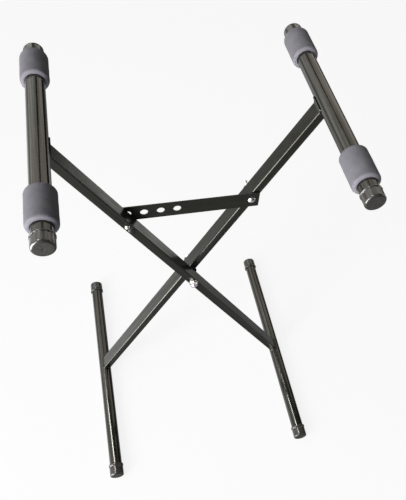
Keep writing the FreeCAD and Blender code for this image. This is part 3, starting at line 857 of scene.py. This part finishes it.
zinc = bright_zinc("Bright_zinc", gloss=0.24, dull=0.42)
pivot_low, pivot_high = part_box("pivot_bolt")
pivot_axis = Vector((0.0, 0.0, PIVOT_HEIGHT))
thread_end = pivot_low[1] + PIVOT_THREAD_LENGTH
head_face = pivot_high[1] - PIVOT_HEAD_HEIGHT
shank_rings = [round_ring(PIVOT_TIP_RADIUS, pivot_low[1])]
shank_rings += thread_rings(PIVOT_BOLT_RADIUS, PIVOT_PITCH, pivot_low[1], thread_end, pivot_low[1])
shank_rings.append(round_ring(PIVOT_BOLT_RADIUS, thread_end + PIVOT_THREAD_RUNOUT))
shank_rings.append(round_ring(PIVOT_BOLT_RADIUS, head_face + PIVOT_SHANK_IN_HEAD))
head_rings = hexagon_rings(PIVOT_FLATS, head_face, pivot_high[1], False, PIVOT_HEAD_BACK,
                           PIVOT_HEAD_MIDDLE)
pivot_shank = skin_rings("pivot_shank", shift_rings(shank_rings, pivot_axis))
pivot_head = skin_rings("pivot_head", shift_rings(head_rings, pivot_axis))
pivot_bolt = join_pieces("Pivot_bolt", [pivot_shank, pivot_head])
crease(pivot_bolt, BOLT_CREASE)
stand_for(pivot_bolt, "pivot_bolt", zinc)
hexagon_nut("pivot_nut", PIVOT_FLATS, PIVOT_NUT_BORE)
for node_name in ("pivot_washer_front", "pivot_washer_rear"):
    dress(node_name, zinc)


# ---------------------------------------------------------------- bushes, block, spacer and inner washer
# Turned steel bushes round both bolts inside the legs, and the steel block in the front leg that
# the stud is fixed to. Black nylon keeps the paint from rubbing, between the legs and behind the strap.

STEEL_DARK = (0.38, 0.37, 0.36)
STEEL_LIGHT = (0.62, 0.61, 0.60)
NYLON_COLOUR = (0.030, 0.030, 0.030)
NYLON_FLOW_COLOUR = (0.045, 0.045, 0.044)
turned_steel, steel_tree, steel_shader = new_material("Turned_steel", Metallic=1.0)
turning = place_group(steel_tree, DRAW_LINES, Direction=ACROSS, Line_scale=1800.0).outputs["Lines"]
steel_colour = blend_colour(steel_tree, turning, STEEL_DARK, STEEL_LIGHT)
steel_tree.links.new(steel_colour, steel_shader.inputs["Base Color"])
steel_tree.links.new(remap(steel_tree, turning, 0.3, 0.7, 0.22, 0.42), steel_shader.inputs["Roughness"])
nylon = moulded_plastic("Black_nylon", NYLON_COLOUR, NYLON_FLOW_COLOUR, gloss=0.35, dull=0.5, grain=1300.0,
                        coat=0.0)
for node_name in ("pivot_bush_front", "pivot_bush_rear", "strap_bush", "stud_block"):
    dress(node_name, turned_steel)
for node_name in ("pivot_spacer", "strap_washer_inner"):
    dress(node_name, nylon)


# ---------------------------------------------------------------- locking strap
# A flat steel bar with four punched holes, painted black with less gloss than the frame.
# The stud has rubbed the paint from the edges of the holes.

STRAP_COLOUR = (0.014, 0.0138, 0.012)
strap_paint = black_paint("Paint_strap", STRAP_COLOUR, gloss=0.30, dull=0.44, direction=ACROSS,
                          peel_depth=0.00003, dust=0.08, wear=0.85, coat=0.1)
dress("lock_strap", strap_paint)


# ---------------------------------------------------------------- bolt of the strap
# An M6 bolt with a plain domed head, through the strap and the rear leg, with a washer and a
# nut behind. All three are bright zinc plated.

STRAP_BOLT_RADIUS = 0.00295
STRAP_TIP_RADIUS = 0.0012
STRAP_PITCH = 0.001
STRAP_SHANK_IN_HEAD = 0.0004
STRAP_PLAIN_LENGTH = 0.0235
STRAP_THREAD_RUNOUT = 0.001
STRAP_HEAD_RADIUS = 0.0072
STRAP_HEAD_HEIGHT = 0.0042
STRAP_HEAD_RIM = 0.0006
STRAP_HEAD_BEVEL = 0.00015
STRAP_NUT_FLATS = 0.010
STRAP_NUT_BORE = 0.0030
DOME_POINTS = 64
DOME_ROWS = 17


def dome_rings(radius, height, back, rim, bevel):
    """Rings of a shallow dome that faces the front, with a small straight rim and a flat back."""
    crown = height - rim
    sphere = (radius * radius + crown * crown) / (2.0 * crown)
    rings = [round_ring(radius * 0.5, back, DOME_POINTS), round_ring(radius - bevel, back, DOME_POINTS),
             round_ring(radius, back - bevel, DOME_POINTS), round_ring(radius, back - rim, DOME_POINTS)]
    for out in values_between(radius, 0.0, DOME_ROWS):
        rise = math.sqrt(sphere * sphere - out * out) - (sphere - crown)
        rings.append(round_ring(out, back - rim - rise, DOME_POINTS))
    return rings


strap_low, strap_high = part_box("strap_bolt")
strap_axis = middle_of("strap_bolt")
dome_back = strap_low[1] + STRAP_HEAD_HEIGHT
plain_end = dome_back + STRAP_PLAIN_LENGTH
shank_rings = [round_ring(STRAP_BOLT_RADIUS, dome_back - STRAP_SHANK_IN_HEAD),
               round_ring(STRAP_BOLT_RADIUS, plain_end)]
shank_rings += thread_rings(STRAP_BOLT_RADIUS, STRAP_PITCH, plain_end + STRAP_THREAD_RUNOUT, strap_high[1],
                            strap_high[1])
shank_rings.append(round_ring(STRAP_TIP_RADIUS, strap_high[1]))
head_rings = dome_rings(STRAP_HEAD_RADIUS, STRAP_HEAD_HEIGHT, dome_back, STRAP_HEAD_RIM, STRAP_HEAD_BEVEL)
strap_head = skin_rings("strap_head", shift_rings(head_rings, strap_axis))
strap_shank = skin_rings("strap_shank", shift_rings(shank_rings, strap_axis))
strap_bolt = join_pieces("Strap_bolt", [strap_head, strap_shank])
crease(strap_bolt, BOLT_CREASE)
stand_for(strap_bolt, "strap_bolt", zinc)
hexagon_nut("strap_nut", STRAP_NUT_FLATS, STRAP_NUT_BORE)
dress("strap_washer_outer", zinc)


# ---------------------------------------------------------------- locking stud and rivet
# The bright stud that the strap hooks over, and the black rivet below it that holds the
# steel block inside the leg.

RIVET_COLOUR = (0.020, 0.020, 0.019)
rivet_black = black_paint("Blackened_rivet", RIVET_COLOUR, gloss=0.26, dull=0.4, direction=ACROSS,
                          peel_depth=0.00002, dust=0.1, wear=0.4, coat=0.2)
dress("lock_stud", zinc)
dress("block_rivet", rivet_black)


# ---------------------------------------------------------------- floor
# Plain pale paper under the stand. It glows, so that the shadows on it stay soft, and it is kept
# out of the light and the reflections on the stand.

FLOOR_HALF = 7.0
FLOOR_GREY = (0.22, 0.22, 0.22, 1.0)
FLOOR_GLOW = 0.86
WHITE = (1.0, 1.0, 1.0)
floor_mesh = bpy.data.meshes.new("floor")
floor_mesh.from_pydata([(-FLOOR_HALF, -FLOOR_HALF, 0.0), (FLOOR_HALF, -FLOOR_HALF, 0.0),
                        (FLOOR_HALF, FLOOR_HALF, 0.0), (-FLOOR_HALF, FLOOR_HALF, 0.0)], [], [(0, 1, 2, 3)])
floor = bpy.data.objects.new("floor", floor_mesh)
bpy.context.scene.collection.objects.link(floor)
floor_material = new_material("Pale_paper", Base_Color=FLOOR_GREY, Roughness=1.0, Specular_IOR_Level=0.0,
                              Emission_Color=(*WHITE, 1.0), Emission_Strength=FLOOR_GLOW)[0]
floor_mesh.materials.append(floor_material)
floor.visible_glossy = False
floor.visible_diffuse = False


# ---------------------------------------------------------------- light
# Soft studio light: a surround that is bright on the left and dim on the right, and a softbox at
# the left front. The other lamps show only as reflections: two pale screens behind with a narrow
# gap between them, a strip above, a panel on the left, and a screen and a strip on the right.

LEFT_BRIGHTNESS = 0.85
RIGHT_BRIGHTNESS = 0.03
FRONT_BRIGHTNESS = 0.27
BACK_BRIGHTNESS = 0.20
BACK_WALL_SHARE = 0.4
UNDERFOOT_SHARE = 0.35
BACKDROP_BRIGHTNESS = 0.93
STAND_MIDDLE = (0.0, 0.0, 0.45)

world = bpy.data.worlds.new("Studio")
bpy.context.scene.world = world
world.use_nodes = True
sky = world.node_tree
backdrop = sky.nodes["Background"]
backdrop.inputs["Color"].default_value = (*WHITE, 1.0)
way = add_node(sky, "SeparateXYZ", None, Vector=add_node(sky, "TexCoord").outputs["Generated"])
leftward = remap(sky, way.outputs["X"], 0.2, -0.7, RIGHT_BRIGHTNESS, LEFT_BRIGHTNESS, "SMOOTHSTEP")
frontward = remap(sky, way.outputs["Y"], 0.0, -0.6, BACK_BRIGHTNESS, FRONT_BRIGHTNESS, "SMOOTHSTEP")
back_wall = remap(sky, way.outputs["Y"], 0.2, 0.6, 1.0, BACK_WALL_SHARE)
underfoot = remap(sky, way.outputs["Z"], -0.8, -0.97, 1.0, UNDERFOOT_SHARE)
below = remap(sky, way.outputs["Z"], -0.15, -0.45, 0.0, 1.0)
walls = calculate(sky, "MULTIPLY", leftward, back_wall)
ground = calculate(sky, "MULTIPLY", calculate(sky, "ADD", leftward, frontward), underfoot)
around = add_node(sky, "Mix", {"data_type": "FLOAT"}, Factor=below, A=walls, B=ground).outputs[0]
seen = add_node(sky, "LightPath").outputs["Is Camera Ray"]
strength = add_node(sky, "Mix", {"data_type": "FLOAT"}, Factor=seen, A=around,
                    B=BACKDROP_BRIGHTNESS).outputs[0]
sky.links.new(strength, backdrop.inputs["Strength"])


def soft_lamp(name, place, aim, size, radiance, colour):
    """A rectangular softbox of a width and a height, aimed at a point."""
    width, height = size
    lamp = bpy.data.lights.new(name, "AREA")
    lamp.shape = "RECTANGLE"
    lamp.size = width
    lamp.size_y = height
    lamp.energy = radiance * math.pi * width * height
    lamp.color = colour
    holder = bpy.data.objects.new(name, lamp)
    bpy.context.scene.collection.objects.link(holder)
    holder.location = place
    holder.rotation_euler = (Vector(aim) - Vector(place)).to_track_quat("-Z", "Y").to_euler()
    return holder


soft_lamp("Key_softbox", (-2.0, -1.4, 1.7), STAND_MIDDLE, size=(0.9, 1.5), radiance=8.0,
          colour=(1.0, 0.99, 1.0))
reflected = [
    soft_lamp("Back_screen_left", (-1.83, 1.5, 2.1), (-1.83, 0.0, 2.1), size=(3.6, 2.4), radiance=1.0,
              colour=(1.0, 0.98, 0.93)),
    soft_lamp("Back_screen_right", (2.15, 1.5, 2.1), (2.15, 0.0, 2.1), size=(3.6, 2.4), radiance=1.0,
              colour=(1.0, 0.93, 0.85)),
    soft_lamp("Top_strip", (-1.86, 1.5, 4.5), (0.0, 0.0, 0.0), size=(0.5, 1.6), radiance=22.0, colour=WHITE),
    soft_lamp("Left_panel", (-2.0, -1.15, 0.2), STAND_MIDDLE, size=(1.9, 2.3), radiance=11.0, colour=WHITE),
    soft_lamp("Right_screen", (1.62, 1.64, -0.36), STAND_MIDDLE, size=(1.0, 0.8), radiance=0.55,
              colour=(1.0, 1.0, 0.95)),
    soft_lamp("Side_strip", (2.3, -0.2, 0.9), STAND_MIDDLE, size=(0.6, 1.8), radiance=2.5, colour=WHITE)]
for lamp_holder in reflected:
    lamp_holder.visible_diffuse = False


# ---------------------------------------------------------------- camera
# It stands in front, a little left of the middle, and looks steeply down on the stand.
# Its place, angles and lens are those fitted to the photograph.

CAMERA_PLACE = Vector((-0.13007, -0.71613, 1.44463))
CAMERA_YAW = math.radians(18.44)
CAMERA_PITCH = math.radians(-53.18)
CAMERA_ROLL = math.radians(6.44)
FOCAL_PIXELS = 590.99
CENTRE_PIXEL = (241.25, 255.24)
IMAGE_SIZE = (406.0, 500.0)
SENSOR_WIDTH = 36.0

forward = Vector((math.sin(CAMERA_YAW) * math.cos(CAMERA_PITCH),
                  math.cos(CAMERA_YAW) * math.cos(CAMERA_PITCH), math.sin(CAMERA_PITCH)))
level = Vector((math.cos(CAMERA_YAW), -math.sin(CAMERA_YAW), 0.0))
upward = level.cross(forward)
across = math.cos(CAMERA_ROLL) * level + math.sin(CAMERA_ROLL) * upward
over = math.cos(CAMERA_ROLL) * upward - math.sin(CAMERA_ROLL) * level
lens = bpy.data.cameras.new("Camera")
lens.sensor_width = SENSOR_WIDTH
lens.lens = FOCAL_PIXELS * SENSOR_WIDTH / IMAGE_SIZE[1]
lens.shift_x = (IMAGE_SIZE[0] / 2.0 - CENTRE_PIXEL[0]) / IMAGE_SIZE[1]
lens.shift_y = (CENTRE_PIXEL[1] - IMAGE_SIZE[1] / 2.0) / IMAGE_SIZE[1]
camera = bpy.data.objects.new("Camera", lens)
bpy.context.scene.collection.objects.link(camera)
turn = Matrix((across, over, -forward)).transposed().to_4x4()
camera.matrix_world = Matrix.Translation(CAMERA_PLACE) @ turn
bpy.context.scene.camera = camera
bpy.context.scene.view_settings.view_transform = "Standard"
